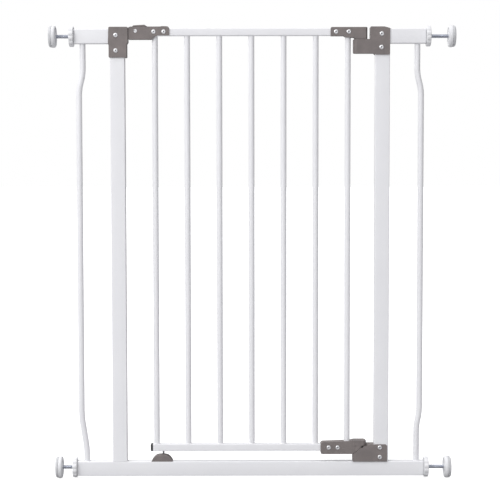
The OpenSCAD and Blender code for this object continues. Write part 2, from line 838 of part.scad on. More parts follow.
// Return spring of the bolt: a wire swept along a helix, in six-sided section
module latch_spring() {
    turns = 8;
    steps = 14;
    sides = 6;
    x0 = spring_x0 + spring_wire / 2 + 0.02;
    x1 = channel_end - spring_wire / 2 - 0.02;
    rings = turns * steps;
    points = [for (i = [0:rings], j = [0:sides - 1])
        let (a = 360 * i / steps, b = 360 * j / sides,
             r = spring_r + spring_wire / 2 * cos(b))
        [x0 + (x1 - x0) * i / rings + spring_wire / 2 * sin(b), r * sin(a),
         bolt_z + bolt_h / 2 + r * cos(a)]];
    walls = [for (i = [0:rings - 1], j = [0:sides - 1])
        let (k = (j + 1) % sides)
        [i * sides + j, i * sides + k, (i + 1) * sides + k, (i + 1) * sides + j]];
    ends = [[for (j = [0:sides - 1]) sides - 1 - j],
            [for (j = [0:sides - 1]) rings * sides + j]];
    color(zinc) polyhedron(points, concat(walls, ends));
}

// ---- Rivets ----

module frame_rivets() {
    color(zinc) for (p = concat(left_rivets, right_rivets, low_rivets)) rivet(p, frame_y);
}

module gate_rivets() {
    color(zinc) for (p = concat(latch_rivets, arm_rivets, foot_rivets)) rivet(p, gate_y);
}

// ---- Spindles, hand nuts and wall pads ----

// Put a shape drawn along +X from the frame's end at one of the four corners
module at_corner(c) {
    translate([0, 0, c[2]]) mirror([c[1] < 0 ? 1 : 0, 0, 0]) rotate([0, 90, 0]) children();
}

function pad_x(c) = nut_x + nut_t + c[3];

module spindle(c) {
    end = pad_x(c) + stem_in;
    color(zinc) at_corner(c) translate([0, 0, end - spindle_len])
        cylinder(r = spindle_d / 2, h = spindle_len);
}

module hand_nut(c) {
    color(white) at_corner(c) translate([0, 0, nut_x]) difference() {
        rotate_extrude() polygon([
            [spindle_d / 2 + thread_gap, 0], [nut_d / 2 - 1.5, 0], [nut_d / 2, 1.5],
            [nut_d / 2, nut_t - 1.5], [nut_d / 2 - 1.5, nut_t], [spindle_d / 2 + thread_gap, nut_t]
        ]);
        for (i = [0:11]) rotate([0, 0, 30 * i]) translate([nut_d / 2 + 2.6, 0, -past])
            cylinder(r = 4, h = nut_t + 2 * past);
    }
}

module wall_pad(c) {
    cup = pad_t - pad_face_t;
    color(white) at_corner(c) translate([0, 0, pad_x(c)]) difference() {
        rotate_extrude() polygon([
            [0, 0], [pad_d / 2 - 3.6, 0], [pad_d / 2 - 1.2, 1.2], [pad_d / 2, 3.4],
            [pad_d / 2, cup - 0.8], [pad_d / 2 - 0.8, cup], [0, cup]
        ]);
        translate([0, 0, -past]) cylinder(r = spindle_d / 2, h = stem_in + past);
    }
}

module pad_face(c) {
    color([0.86, 0.87, 0.88]) at_corner(c) translate([0, 0, pad_x(c) + pad_t - pad_face_t])
        rotate_extrude() polygon([
            [0, 0], [pad_d / 2 - 0.8, 0], [pad_d / 2 - 0.8, 0.4 * pad_face_t],
            [pad_d / 2 - 1.8, 0.8 * pad_face_t], [pad_d / 2 - 3.4, pad_face_t],
            [0, pad_face_t]
        ]);
}

bottom_rail();
left_upright();
right_upright();
left_top_arm();
right_top_arm();
left_side_bar();
right_side_bar();
tube_end_plugs();
left_keeper_front();
left_keeper_back();
upper_bracket_front();
upper_bracket_back();
lower_bracket_front();
lower_bracket_back();
lower_hinge_pin();
lock_pin_keeper();
frame_rivets();
upper_hinge_bush();
hinge_cam_insert();
gate_top_rail();
gate_bottom_rail();
for (i = [1:bar_count])
    gate_bar(bars[i - 1]);
hinge_arm_front();
hinge_arm_back();
upper_hinge_pin();
hinge_foot_front();
hinge_foot_back();
latch_cover_front();
latch_cover_back();
latch_screw();
gate_rivets();
lock_pin();
rail_end_cap();
thumb_slide();
latch_bolt();
latch_spring();
for (c = corners) {
    spindle(c);
    hand_nut(c);
    wall_pad(c);
    pad_face(c);
}
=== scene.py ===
"""Finish for a pressure-mounted safety gate: a white tube frame, a swing gate with a thumb latch,
and four screw spindles with hand nuts and wall pads. Lengths are in metres. X runs along the
rail, Y runs to the back and Z runs up."""

import json
import math

import bpy
import numpy as np
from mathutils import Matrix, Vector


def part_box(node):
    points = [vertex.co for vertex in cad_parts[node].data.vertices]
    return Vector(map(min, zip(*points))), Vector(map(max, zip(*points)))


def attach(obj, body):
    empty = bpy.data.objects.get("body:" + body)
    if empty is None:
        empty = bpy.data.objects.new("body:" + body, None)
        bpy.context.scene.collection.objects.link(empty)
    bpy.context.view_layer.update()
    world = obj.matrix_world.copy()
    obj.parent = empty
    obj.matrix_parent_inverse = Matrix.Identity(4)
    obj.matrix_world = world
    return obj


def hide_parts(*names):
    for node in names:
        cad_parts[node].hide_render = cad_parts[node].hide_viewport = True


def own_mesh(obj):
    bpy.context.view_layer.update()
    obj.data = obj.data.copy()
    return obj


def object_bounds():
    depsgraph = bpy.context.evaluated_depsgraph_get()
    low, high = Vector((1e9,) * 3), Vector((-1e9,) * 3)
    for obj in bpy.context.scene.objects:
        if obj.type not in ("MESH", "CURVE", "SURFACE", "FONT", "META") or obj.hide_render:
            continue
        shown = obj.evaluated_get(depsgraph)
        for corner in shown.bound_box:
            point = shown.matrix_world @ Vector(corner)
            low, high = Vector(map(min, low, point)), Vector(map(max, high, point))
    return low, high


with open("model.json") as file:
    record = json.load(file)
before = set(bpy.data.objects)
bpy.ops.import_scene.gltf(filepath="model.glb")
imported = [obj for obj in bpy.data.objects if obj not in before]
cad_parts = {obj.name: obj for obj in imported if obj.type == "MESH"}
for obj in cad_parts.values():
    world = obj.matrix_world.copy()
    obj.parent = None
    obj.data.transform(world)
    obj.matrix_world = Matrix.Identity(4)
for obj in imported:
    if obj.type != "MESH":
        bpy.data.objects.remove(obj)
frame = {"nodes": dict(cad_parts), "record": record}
cad_low, cad_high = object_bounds()

MM = 0.001
CORNERS = ("top_left", "top_right", "bottom_left", "bottom_right")
BODY_OF = {node: body for body, nodes in frame["record"]["behaviour"]["bodies"].items()
           for node in nodes}

# Sizes that the boxes of the CAD nodes don't give
FIT = 0.1 * MM              # clearance round a spindle, and of a plug in its tube
TUBE_CORNER = 1.7 * MM      # outer corner radius of the frame tubes
RAIL_CORNER = 1.5 * MM      # outer corner radius of the gate's square rails
TUBE_WALL = 1.2 * MM
EDGE = 0.35 * MM            # small round on a cut tube end
FLUSH = 0.02 * MM           # the same on an end that is welded and dressed flush
TUBE_WELD = 2.4 * MM        # leg of the weld fillet round an arm
ROD_WELD = 1.3 * MM         # leg of the weld fillet round a bar
FOOT_WELD = 3.0 * MM        # leg of the weld in the frame's lower corners
WELD_RIPPLE = 2.4 * MM      # length of a ripple in a fillet weld
FOOT_RIPPLE = 2.6 * MM      # the same in the frame's lower corners
PLUG_CORNER = 3 * MM
PLUG_DEPTH = 20 * MM        # how far a plug reaches into its tube
THREAD_PITCH = 1.25 * MM
THREAD_DEPTH = 0.5 * MM
THREAD_TAPER = 1.4 * MM     # how much thinner a spindle's ends are
SCALLOPS = 12               # finger grips round a hand nut
SCALLOP_RADIUS = 4 * MM
SCALLOP_OUT = 2.6 * MM      # from a nut's rim out to the middle of a scallop
RIVET_REACH = 9.3 * MM      # wider than a rivet's head, narrower than the gap to the next
RIVET_HEAD = 1.2 * MM       # height of a rivet's head


# ---- Outlines and profiles ----

def rounded_rectangle(width, height, radius, steps=6):
    """Outline of a rectangle with round corners: each corner's centre plus radius times
    (cos t, sin t), with t running a quarter turn. Gives the points and their outward normals."""
    t = (np.arange(4)[:, None] + np.linspace(0, 1, steps + 1)) * np.pi / 2
    normals = np.stack([np.cos(t), np.sin(t)], -1)
    signs = np.array([[1, 1], [-1, 1], [-1, -1], [1, -1]])
    centres = signs * [width / 2 - radius, height / 2 - radius]
    return (centres[:, None] + radius * normals).reshape(-1, 2), normals.reshape(-1, 2)


def circle(radius, count=40):
    """Points of a circle, radius times (cos t, sin t), and their outward normals."""
    t = np.arange(count) * 2 * np.pi / count
    normals = np.stack([np.cos(t), np.sin(t)], -1)
    return radius * normals, normals


def evenly(outline, spacing):
    """The same outline with points about spacing apart: position and normal are both read off
    along its length."""
    points, normals = (np.vstack([a, a[:1]]) for a in outline)
    length = np.concatenate([[0], np.cumsum(np.linalg.norm(np.diff(points, axis=0), axis=1))])
    count = int(round(length[-1] / spacing))
    at = np.arange(count) * length[-1] / count
    points, normals = (np.stack([np.interp(at, length, a[:, i]) for i in (0, 1)], -1)
                       for a in (points, normals))
    return points, normals / np.linalg.norm(normals, axis=1)[:, None]


def softened(corners, steps=5):
    """A line through corners (along, out, cut), in millimetres, where each corner with a cut is
    replaced by a quadratic curve that starts and ends that far from it. Gives metres."""
    corners = np.asarray(corners, float)
    t = np.linspace(0, 1, steps + 1)[:, None]
    line = []
    for i, (along, out, cut) in enumerate(corners):
        here = np.array([along, out])
        if cut == 0:
            line.append(here[None])
            continue
        before, after = corners[i - 1, :2] - here, corners[(i + 1) % len(corners), :2] - here
        start = here + cut * before / np.linalg.norm(before)
        end = here + cut * after / np.linalg.norm(after)
        line.append((1 - t) ** 2 * start + 2 * t * (1 - t) * here + t ** 2 * end)
    return np.vstack(line) * MM


# ---- Shells: grids of points whose rows are closed rings ----

def prism(axis, outline, stations, middle):
    """Rings of an outline carried along an axis: at each station (position, inset) the points
    are the outline less inset times its normals."""
    points, normals = outline
    rows = np.array(stations)
    flat = points[None] - rows[:, 1, None, None] * normals[None]
    along = np.broadcast_to(rows[:, 0, None], flat.shape[:2])
    order = {"x": (along, flat[..., 0] + middle[0], flat[..., 1] + middle[1]),
             "z": (flat[..., 0] + middle[0], flat[..., 1] + middle[1], along)}
    return np.stack(order[axis], -1)


def tube(axis, low, high, outline, middle, wall=TUBE_WALL, edge=EDGE):
    """The closed wall of a tube: rings along the outside, round each cut end, and back inside."""
    stations = [(low, edge), (low + edge, 0), (high - edge, 0), (high, edge), (high, wall),
                (low, wall)]
    return prism(axis, outline, stations, middle), True


def rod(low, high, radius, middle):
    """A closed round bar along Z, capped at both ends."""
    stations = [(low, 0), ((low + high) / 2, 0), (high, 0)]
    return prism("z", circle(radius), stations, middle), False


def fillet_weld(axis, outline, at, way, leg, middle, spacing=0.9 * MM):
    """A weld bead in the corner between a tube and the face that it stands on. Its section is
    bounded by both legs and a hollow arc between them, and both legs swing by an eighth with each
    ripple round the outline: 1 plus 0.12 times the sine of the length along it."""
    points, normals = evenly(outline, spacing)
    s = np.linspace(0, np.pi / 2, 6)
    along = np.concatenate([[0], leg * (1 - np.sin(s)), [0]])
    out = np.concatenate([[-0.3 * MM], leg * (1 - np.cos(s)), [leg]])
    length = np.arange(len(points)) * spacing
    ripple = 1 + 0.12 * np.sin(2 * np.pi * length / WELD_RIPPLE)
    flat = points[None] + (out[:, None] * ripple)[..., None] * normals[None]
    place = at + way * along[:, None] * ripple
    order = {"x": (place, flat[..., 0] + middle[0], flat[..., 1] + middle[1]),
             "z": (flat[..., 0] + middle[0], flat[..., 1] + middle[1], place)}
    return np.stack(order[axis], -1), True


def corner_weld(x, way, z, half_depth):
    """The bead in a corner between an upright and the rail: a right-angled section with a hollow
    arc, carried along Y. Its legs swing by a twelfth with each ripple, 1 plus 0.08 times the sine
    of Y, and shrink to half at both ends."""
    s = np.linspace(0, np.pi / 2, 8)
    out = FOOT_WELD * np.concatenate([[-0.1, 1], 1 - np.sin(s[1:-1]), [0, -0.1]])
    up = FOOT_WELD * np.concatenate([[-0.1, 0], 1 - np.cos(s[1:-1]), [1, 1]])
    y = np.linspace(-half_depth, half_depth, 40)
    ripple = (1 + 0.08 * np.sin(2 * np.pi * y / FOOT_RIPPLE)) * (1 - 0.5 * (y / half_depth) ** 12)
    return np.stack(np.broadcast_arrays(x + way * out * ripple[:, None], y[:, None],
                                        z + up * ripple[:, None]), -1), False


def turned(axis, centre, profile, way=1, count=48, shape=None):
    """A profile of (along, radius) turned round an axis through centre. shape, if given, changes
    the radius from the radius and the angle."""
    angle = np.arange(count) * 2 * np.pi / count
    radius = np.broadcast_to(profile[:, 1, None], (len(profile), count))
    if shape is not None:
        radius = shape(radius, angle)
    along = np.broadcast_to(way * profile[:, 0, None], radius.shape)
    u, v = radius * np.cos(angle), radius * np.sin(angle)
    order = {"x": (along, u, v), "y": (u, along, v), "z": (u, v, along)}
    return np.stack(order[axis], -1) + np.asarray(centre)


def swept(line, across, up, radius, count=24):
    """Round rings carried along a line: each ring is the line's point plus radius times
    (cos b times across, plus sin b times up)."""
    b = np.arange(count) * 2 * np.pi / count
    return (line[:, None] + radius * (np.cos(b)[None, :, None] * across[:, None]
                                      + np.sin(b)[None, :, None] * up[:, None])), False


# ---- Pieces ----

def outward(points, quads, triangles):
    """Whether a closed shell's faces point outwards: the sum of its signed volumes is above 0."""
    corners = np.vstack([quads[:, [0, 1, 2]], quads[:, [0, 2, 3]], triangles])
    a, b, c = (points[corners[:, i]] for i in range(3))
    return np.einsum("ij,ij->", a - points.mean(0), np.cross(b - a, c - a)) > 0


def piece(name, shells, nodes, finish, sharp=35, body=None):
    """One object from closed shells. Each is a grid of rings, and either its last ring joins its
    first or both end rings are closed with a fan to their middle. It stands for the CAD nodes
    named and moves with their body, or adds to the body named. Edges that turn by more than
    sharp, in degrees, stay sharp."""
    points, faces, start = [], [], 0
    for grid, closed in shells:
        rows, columns = grid.shape[:2]
        index = np.arange(rows * columns).reshape(rows, columns)
        flat = grid.reshape(-1, 3)
        fans = np.zeros((0, 3), int)
        if closed:
            index = np.vstack([index, index[:1]])
        beside = np.roll(index, -1, axis=1)
        quads = np.stack([index[:-1], beside[:-1], beside[1:], index[1:]], -1).reshape(-1, 4)
        if not closed:
            hub = rows * columns
            flat = np.vstack([flat, grid[0].mean(0), grid[-1].mean(0)])
            fans = np.vstack([
                np.stack([np.full(columns, hub), beside[0], index[0]], -1),
                np.stack([np.full(columns, hub + 1), index[-1], beside[-1]], -1)])
        if not outward(flat, quads, fans):
            quads, fans = quads[:, ::-1], fans[:, ::-1]
        points.append(flat)
        faces += (quads + start).tolist() + (fans + start).tolist()
        start += len(flat)
    mesh = bpy.data.meshes.new(name)
    mesh.from_pydata(np.vstack(points).tolist(), [], faces)
    mesh.shade_smooth()
    mesh.set_sharp_from_angle(angle=math.radians(sharp))
    mesh.materials.append(finish)
    made = bpy.data.objects.new(name, mesh)
    bpy.context.scene.collection.objects.link(made)
    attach(made, body or BODY_OF[nodes[0]])
    if nodes:
        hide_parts(*nodes)
    return made


def moulded(node, finish, edge):
    """A CAD node that stays: its loose triangles are joined, its flat faces made whole, and its
    edges rounded to the width edge."""
    shown = frame["nodes"][node]
    shown.data.materials.clear()
    shown.data.materials.append(finish)
    if "custom_normal" in shown.data.attributes:
        shown.data.attributes.remove(shown.data.attributes["custom_normal"])
    shown.data.shade_smooth()
    join = shown.modifiers.new("join", "WELD")
    join.merge_threshold = 0.02 * MM
    flatten = shown.modifiers.new("flatten", "DECIMATE")
    flatten.decimate_type = "DISSOLVE"
    flatten.angle_limit = math.radians(0.6)
    soften = shown.modifiers.new("soften", "BEVEL")
    soften.width = edge
    soften.segments = 3
    soften.limit_method = "ANGLE"
    soften.angle_limit = math.radians(32)
    soften.use_clamp_overlap = True
    shade = shown.modifiers.new("shade", "WEIGHTED_NORMAL")
    shade.keep_sharp = True


def lumps(node, reach):
    """The boxes of a CAD node's separate lumps: points within reach of the first point left, in
    the XZ plane, belong to one lump."""
    mesh = frame["nodes"][node].data
    co = np.empty(len(mesh.vertices) * 3)
    mesh.vertices.foreach_get("co", co)
    left, found = co.reshape(-1, 3), []
    while len(left):
        near = np.linalg.norm(left[:, [0, 2]] - left[0, [0, 2]], axis=1) < reach
        found.append((left[near].min(0), left[near].max(0)))
        left = left[~near]
    return found


# ---- Finishes ----

def add(nodes, kind, **values):
    """A shader node with its settings and the values of its sockets."""
    made = nodes.new("ShaderNode" + kind)
    for key, value in values.items():
        if key in made.inputs:
            made.inputs[key].default_value = value
        else:
            setattr(made, key, value)
    return made


def coating(name, light, dark, drift, grain, rough, depth, metal=0.0, coat=0.0, stretch=(1, 1, 1),
            pits=0.0):
    """A finish whose colour drifts between two shades over drift metres, and whose roughness and
    relief follow a grain of that size. depth is the relief's height. pits adds fine dimples."""
    made = bpy.data.materials.new(name)
    made.use_nodes = True
    nodes, links = made.node_tree.nodes, made.node_tree.links
    shader = nodes["Principled BSDF"]
    shader.inputs["Metallic"].default_value = metal
    shader.inputs["Coat Weight"].default_value = coat
    shader.inputs["Coat Roughness"].default_value = 0.18
    where = add(nodes, "TexCoord")
    turn = add(nodes, "Mapping", Scale=stretch)
    slow = add(nodes, "TexNoise", Scale=1 / drift, Detail=3.0, Roughness=0.55)
    fine = add(nodes, "TexNoise", Scale=1 / grain, Detail=4.0, Roughness=0.6)
    shades = add(nodes, "ValToRGB")
    shades.color_ramp.elements[0].position, shades.color_ramp.elements[1].position = 0.3, 0.7
    shades.color_ramp.elements[0].color = (*dark, 1)
    shades.color_ramp.elements[1].color = (*light, 1)
    gloss = add(nodes, "MapRange", **{"To Min": rough[0], "To Max": rough[1]})
    relief = add(nodes, "Bump", Strength=1.0, Distance=depth)
    links.new(where.outputs["Object"], turn.inputs["Vector"])
    for noise in (slow, fine):
        links.new(turn.outputs["Vector"], noise.inputs["Vector"])
    links.new(slow.outputs["Fac"], shades.inputs["Fac"])
    links.new(shades.outputs["Color"], shader.inputs["Base Color"])
    links.new(fine.outputs["Fac"], gloss.inputs["Value"])
    links.new(gloss.outputs["Result"], shader.inputs["Roughness"])
    links.new(fine.outputs["Fac"], relief.inputs["Height"])
    links.new(relief.outputs["Normal"], shader.inputs["Normal"])
    if pits:
        dimples = add(nodes, "TexVoronoi", Scale=1 / pits)
        deepen = add(nodes, "Bump", Strength=0.6, Distance=depth)
        links.new(turn.outputs["Vector"], dimples.inputs["Vector"])
        links.new(dimples.outputs["Distance"], deepen.inputs["Height"])
        links.new(relief.outputs["Normal"], deepen.inputs["Normal"])
        links.new(deepen.outputs["Normal"], shader.inputs["Normal"])
    return made


powder_white = coating("powder_white", (0.81, 0.81, 0.83), (0.785, 0.785, 0.81), 90 * MM, 1.6 * MM,
                       (0.30, 0.42), 0.03 * MM, coat=0.25)
moulded_taupe = coating("moulded_taupe", (0.205, 0.178, 0.172), (0.165, 0.145, 0.141), 22 * MM,
                        0.45 * MM, (0.46, 0.62), 0.035 * MM, pits=0.5 * MM)
dark_nylon = coating("dark_nylon", (0.05, 0.05, 0.053), (0.035, 0.035, 0.038), 14 * MM, 0.5 * MM,
                     (0.4, 0.55), 0.02 * MM)
dark_steel = coating("dark_steel", (0.30, 0.30, 0.31), (0.22, 0.22, 0.23), 12 * MM, 0.3 * MM,
                     (0.28, 0.42), 0.008 * MM, metal=1.0, stretch=(1, 1, 0.15))
zinc_plate = coating("zinc_plate", (0.52, 0.54, 0.60), (0.40, 0.42, 0.48), 9 * MM, 0.25 * MM,
                     (0.2, 0.34), 0.006 * MM, metal=1.0, stretch=(0.2, 1, 1))
rivet_steel = coating("rivet_steel", (0.80, 0.80, 0.81), (0.70, 0.70, 0.72), 5 * MM, 0.35 * MM,
                      (0.22, 0.36), 0.01 * MM, metal=1.0)
satin_white = coating("satin_white", (0.74, 0.74, 0.755), (0.705, 0.71, 0.73), 30 * MM,
                      0.7 * MM, (0.38, 0.5), 0.02 * MM, pits=0.9 * MM)
grip_rubber = coating("grip_rubber", (0.60, 0.605, 0.62), (0.53, 0.535, 0.55), 8 * MM, 0.4 * MM,
                      (0.7, 0.85), 0.05 * MM)


# ---- Frame tubes ----

rail_low, rail_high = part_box("bottom_rail")
rail_middle = ((rail_low.y + rail_high.y) / 2, (rail_low.z + rail_high.z) / 2)
frame_outline = rounded_rectangle(rail_high.y - rail_low.y, rail_high.z - rail_low.z, TUBE_CORNER)
piece("bottom_tube", [tube("x", rail_low.x, rail_high.x, frame_outline, rail_middle)],
      ["bottom_rail"], powder_white)

for side, way in (("left", -1), ("right", 1)):
    low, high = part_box(side + "_upright")
    # The node's box takes in the weld in its lower inner corner, which the tube doesn't
    left = low.x + (FOOT_WELD if way > 0 else 0)
    right = high.x - (FOOT_WELD if way < 0 else 0)
    post = rounded_rectangle(right - left, high.y - low.y, TUBE_CORNER)
    middle = ((left + right) / 2, (low.y + high.y) / 2)
    shells = [tube("z", low.z, high.z, post, middle, edge=FLUSH),
              corner_weld(left, -1, low.z, high.y - TUBE_CORNER),
              corner_weld(right, 1, low.z, high.y - TUBE_CORNER)]
    piece(side + "_post", shells, [side + "_upright"], powder_white)

    low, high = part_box(side + "_top_arm")
    arm = rounded_rectangle(high.y - low.y, high.z - low.z, TUBE_CORNER)
    middle = ((low.y + high.y) / 2, (low.z + high.z) / 2)
    joint = low.x if way > 0 else high.x
    shells = [tube("x", low.x, high.x, arm, middle),
              fillet_weld("x", arm, joint, way, TUBE_WELD, middle)]
    piece(side + "_arm_tube", shells, [side + "_top_arm"], powder_white)


# ---- Round bars ----

def bend(x, z, step, length, turn, steps=14):
    """Centre line of a bend that steps sideways on its way down: two equal arcs joined by a
    slanted straight. Rows are (x, z, lean from the vertical in radians)."""
    way, turn = math.copysign(1, step), math.radians(turn)
    arc = (length * math.sin(turn) - abs(step) * math.cos(turn)) / (2 * (1 - math.cos(turn)))
    t = np.linspace(0, turn, steps)
    first = np.stack([x + way * arc * (1 - np.cos(t)), z - arc * np.sin(t), way * t], -1)
    second = np.stack([x + step - way * arc * (1 - np.cos(t)), z - length + arc * np.sin(t),
                       way * t], -1)[::-1]
    return np.vstack([first, second])


arm_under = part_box("left_top_arm")[0].z
rail_top = rail_high.z
post_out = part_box("right_upright")[1].x
rod_radius = (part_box("gate_bar_1")[1].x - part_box("gate_bar_1")[0].x) / 2
SIDE_ROD_GAP, SIDE_ROD_STEP = 57 * MM, 8 * MM
TOP_RUN, TOP_TURN = 50 * MM, 14
BEND_LENGTH, LONG_BEND_LENGTH = 56 * MM, 100 * MM
# Per side: foot's shift outwards from the top, foot bend's length, run under it, its turn in
# degrees
SIDE_RODS = {"left": (-2.5 * MM, LONG_BEND_LENGTH, 10 * MM, 9),
             "right": (2 * MM, BEND_LENGTH, 60 * MM, 11)}

for side, way in (("left", -1), ("right", 1)):
    foot_shift, foot_bend, foot_run, foot_turn = SIDE_RODS[side]
    top = post_out + SIDE_ROD_GAP
    foot = top + foot_shift
    line = np.vstack([
        [[top, arm_under, 0]],
        bend(top, arm_under - TOP_RUN, SIDE_ROD_STEP, BEND_LENGTH, TOP_TURN),
        bend(top + SIDE_ROD_STEP, rail_top + foot_run + foot_bend, foot - top - SIDE_ROD_STEP,
             foot_bend, foot_turn),
        [[foot, rail_top, 0]]])
    x, z, lean = line.T * [[way], [1], [way]]
    zero, one = np.zeros_like(x), np.ones_like(x)
    path = np.stack([x, zero, z], -1)
    across = np.stack([np.cos(lean), zero, np.sin(lean)], -1)
    depth = np.stack([zero, one, zero], -1)
    welds = [fillet_weld("z", circle(rod_radius), at, turn, ROD_WELD, (x[end], 0))
             for at, turn, end in ((arm_under, -1, 0), (rail_top, 1, -1))]
    piece(side + "_side_rod", [swept(path, across, depth, rod_radius, 40), *welds],
          [side + "_side_bar"], powder_white)

for number in range(1, 8):
    low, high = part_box(f"gate_bar_{number}")
    middle = ((low.x + high.x) / 2, (low.y + high.y) / 2)
    welds = [fillet_weld("z", circle(rod_radius), at, turn, ROD_WELD, middle)
             for at, turn in ((low.z, 1), (high.z, -1))]
    piece(f"gate_rod_{number}", [rod(low.z, high.z, rod_radius, middle), *welds],
          [f"gate_bar_{number}"], powder_white)

for level in ("top", "bottom"):
    low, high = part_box(f"gate_{level}_rail")
    square = rounded_rectangle(high.y - low.y, high.z - low.z, RAIL_CORNER)
    middle = ((low.y + high.y) / 2, (low.z + high.z) / 2)
    piece(f"gate_{level}_tube", [tube("x", low.x, high.x, square, middle)],
          [f"gate_{level}_rail"], powder_white)


# ---- Plugs, spindles, nuts and pads at the four corners ----

def grips(radius, angle):
    """The radius of a hand nut with its scallops: near the rim it is cut back to circles whose
    middles lie outside the rim, and not at all near the hub."""
    rim = radius.max()
    reach, cut = rim + SCALLOP_OUT, SCALLOP_RADIUS
    off = (angle + np.pi / SCALLOPS) % (2 * np.pi / SCALLOPS) - np.pi / SCALLOPS
    inside = cut ** 2 - (reach * np.sin(off)) ** 2
    scallop = np.where(inside > 0, reach * np.cos(off) - np.sqrt(np.maximum(inside, 0)), rim)
    scallop = np.minimum(scallop, rim)
    scallop = (np.roll(scallop, 1) + 2 * scallop + np.roll(scallop, -1)) / 4
    share = np.clip((radius / rim - 0.7) / 0.3, 0, 1) ** 1.5
    return radius - share * (rim - scallop)


def thread(low, high, radius, middle, way):
    """A threaded rod along X: its radius falls from the crest by the thread's depth times a
    flattened triangle wave of (position / pitch less angle / turn), and both ends are tapered."""
    rows_per_turn, sides = 8, 24
    rows = int(round((high - low) / THREAD_PITCH * rows_per_turn)) + 1
    x = np.linspace(low, high, rows)[:, None]
    angle = (np.arange(sides) * 2 * np.pi / sides)[None]
    phase = (x / THREAD_PITCH - way * angle / (2 * np.pi)) % 1
    flank = np.clip(1.35 * np.abs(2 * phase - 1) - 0.2, 0, 1)
    r = radius - THREAD_DEPTH * (1 - flank)
    r = np.minimum(r, radius - THREAD_TAPER + np.minimum(x - low, high - x))
    grid = np.stack(np.broadcast_arrays(x, middle[0] + r * np.cos(angle),
                                        middle[1] + r * np.sin(angle)), -1)
    return grid, False


def wheel_section(thick, rim, bore):
    """Half section of a hand nut, all in millimetres: a rim with round edges, a dished outer
    face, and a raised hub round the bore."""
    return softened([(0, bore, 0), (0, rim, 2.2), (thick, rim, 2.4), (thick, rim * 0.8, 0.8),
                     (thick - 1.3, rim * 0.72, 0.9), (thick - 1.3, 9.4, 0.9),
                     (thick, 8.2, 0.8), (thick, bore, 0)])


def cup_section(thick, rim):
    """Half section of a wall pad, all in millimetres: a hub, a groove round it, a full round rim,
    and a step that the rubber face sits against."""
    return softened([(0, 0.5, 0), (0, 6.4, 0.5), (1.1, 7.4, 0.5), (1.1, rim - 6.2, 0.6),
                     (0, rim - 5.0, 0.5), (0, rim - 3.4, 0.8), (1.1, rim - 1.1, 1.0),
                     (3.2, rim, 1.2), (thick - 1.3, rim, 0.5), (thick - 0.9, rim - 1.9, 0.2),
                     (thick, rim - 2.2, 0), (thick, 0.5, 0)])


def sole_section(thick, rim):
    """Half section of a rubber pad face: a crowned edge, then a face that dips by the ridges'
    height times (1 + cos(turns of the radius / the ridges' spacing)) / 2."""
    ridge_height, ridge_spacing = 0.45 * MM, 2.9 * MM
    crown = softened([(0, 0.4, 0), (0, rim / MM, 0.3), (0.45 * thick / MM, rim / MM, 1.2),
                      (0.8 * thick / MM, rim / MM - 1, 0.8),
                      (thick / MM, rim / MM - 2.7, 0)])
    spread = np.linspace(rim - 3 * MM, 0.4 * MM, 90)
    face = thick - ridge_height * (0.5 + 0.5 * np.cos(2 * np.pi * spread / ridge_spacing))
    return np.vstack([crown, np.stack([face, spread], -1)])


def plug(low, high, tube_end, way, bore, centre):
    """A tube's end plug with the box low to high: a body inside the tube, a flange with a round
    edge over its end, and a bore right through. The bore's points lie on a circle of that radius
    round centre, in the same directions as the outline's points."""
    flange = max(abs(low[0]), abs(high[0])) - tube_end
    outer_end, inner_end = tube_end + flange, tube_end - PLUG_DEPTH
    middle_z = (low[2] + high[2]) / 2
    face = evenly(rounded_rectangle(high[1] - low[1], high[2] - low[2], PLUG_CORNER, 9), 0.8 * MM)
    stations = [(inner_end, TUBE_WALL + 0.6 * MM), (tube_end, TUBE_WALL + FIT),
                (tube_end, FIT), (outer_end - 0.7 * MM, 0.0),
                (outer_end - 0.2 * MM, 0.25 * MM), (outer_end, 0.8 * MM)]
    outside = prism("x", face, stations, (0, middle_z))
    angle = np.arctan2(face[0][:, 1] + middle_z - centre[1], face[0][:, 0])
    ring = np.stack([np.cos(angle), np.sin(angle)], -1) * bore
    inside = np.stack([np.stack([np.full(len(ring), at), ring[:, 0], ring[:, 1] + centre[1]], -1)
                       for at in (outer_end, inner_end)])
    return np.concatenate([outside, inside]) * [way, 1, 1], True


def disc(node, way):
    """The inner face, the thickness and the rim's radius of a round CAD node on a spindle."""
    low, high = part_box(node)
    return low.x if way > 0 else high.x, high.x - low.x, (high.z - low.z) / 2


plug_boxes = lumps("tube_end_plugs", 60 * MM)
plug_shells = []
for corner in CORNERS:
    way = -1 if corner.endswith("left") else 1
    low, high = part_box("spindle_" + corner)
    centre = ((low.y + high.y) / 2, (low.z + high.z) / 2)
    spindle_radius = (high.z - low.z) / 2
    piece("threaded_rod_" + corner, [thread(low.x, high.x, spindle_radius, centre, way)],
          ["spindle_" + corner], zinc_plate, sharp=80)

    face, thick, rim = disc("hand_nut_" + corner, way)
    section = wheel_section(thick / MM, rim / MM, (spindle_radius + FIT) / MM)
    piece("hand_wheel_" + corner, [(turned("x", (face, *centre), section, way, 144, grips), True)],
          ["hand_nut_" + corner], satin_white, sharp=45)

    face, thick, rim = disc("wall_pad_" + corner, way)
    section = cup_section(thick / MM, rim / MM)
    piece("pad_cup_" + corner, [(turned("x", (face, *centre), section, way, 96), False)],
          ["wall_pad_" + corner], satin_white, sharp=45)

    face, thick, rim = disc("pad_face_" + corner, way)
    section = sole_section(thick, rim)
    piece("pad_sole_" + corner, [(turned("x", (face, *centre), section, way, 96), False)],
          ["pad_face_" + corner], grip_rubber, sharp=50)

    # The plug of this corner is the one whose box lies nearest to the pad
    box_low, box_high = min(plug_boxes, key=lambda b: abs(b[0][0] + b[1][0] - 2 * face)
                            + abs(b[0][2] + b[1][2] - 2 * centre[1]))
    plug_shells.append(plug(box_low, box_high, rail_high.x, way, spindle_radius + FIT, centre))
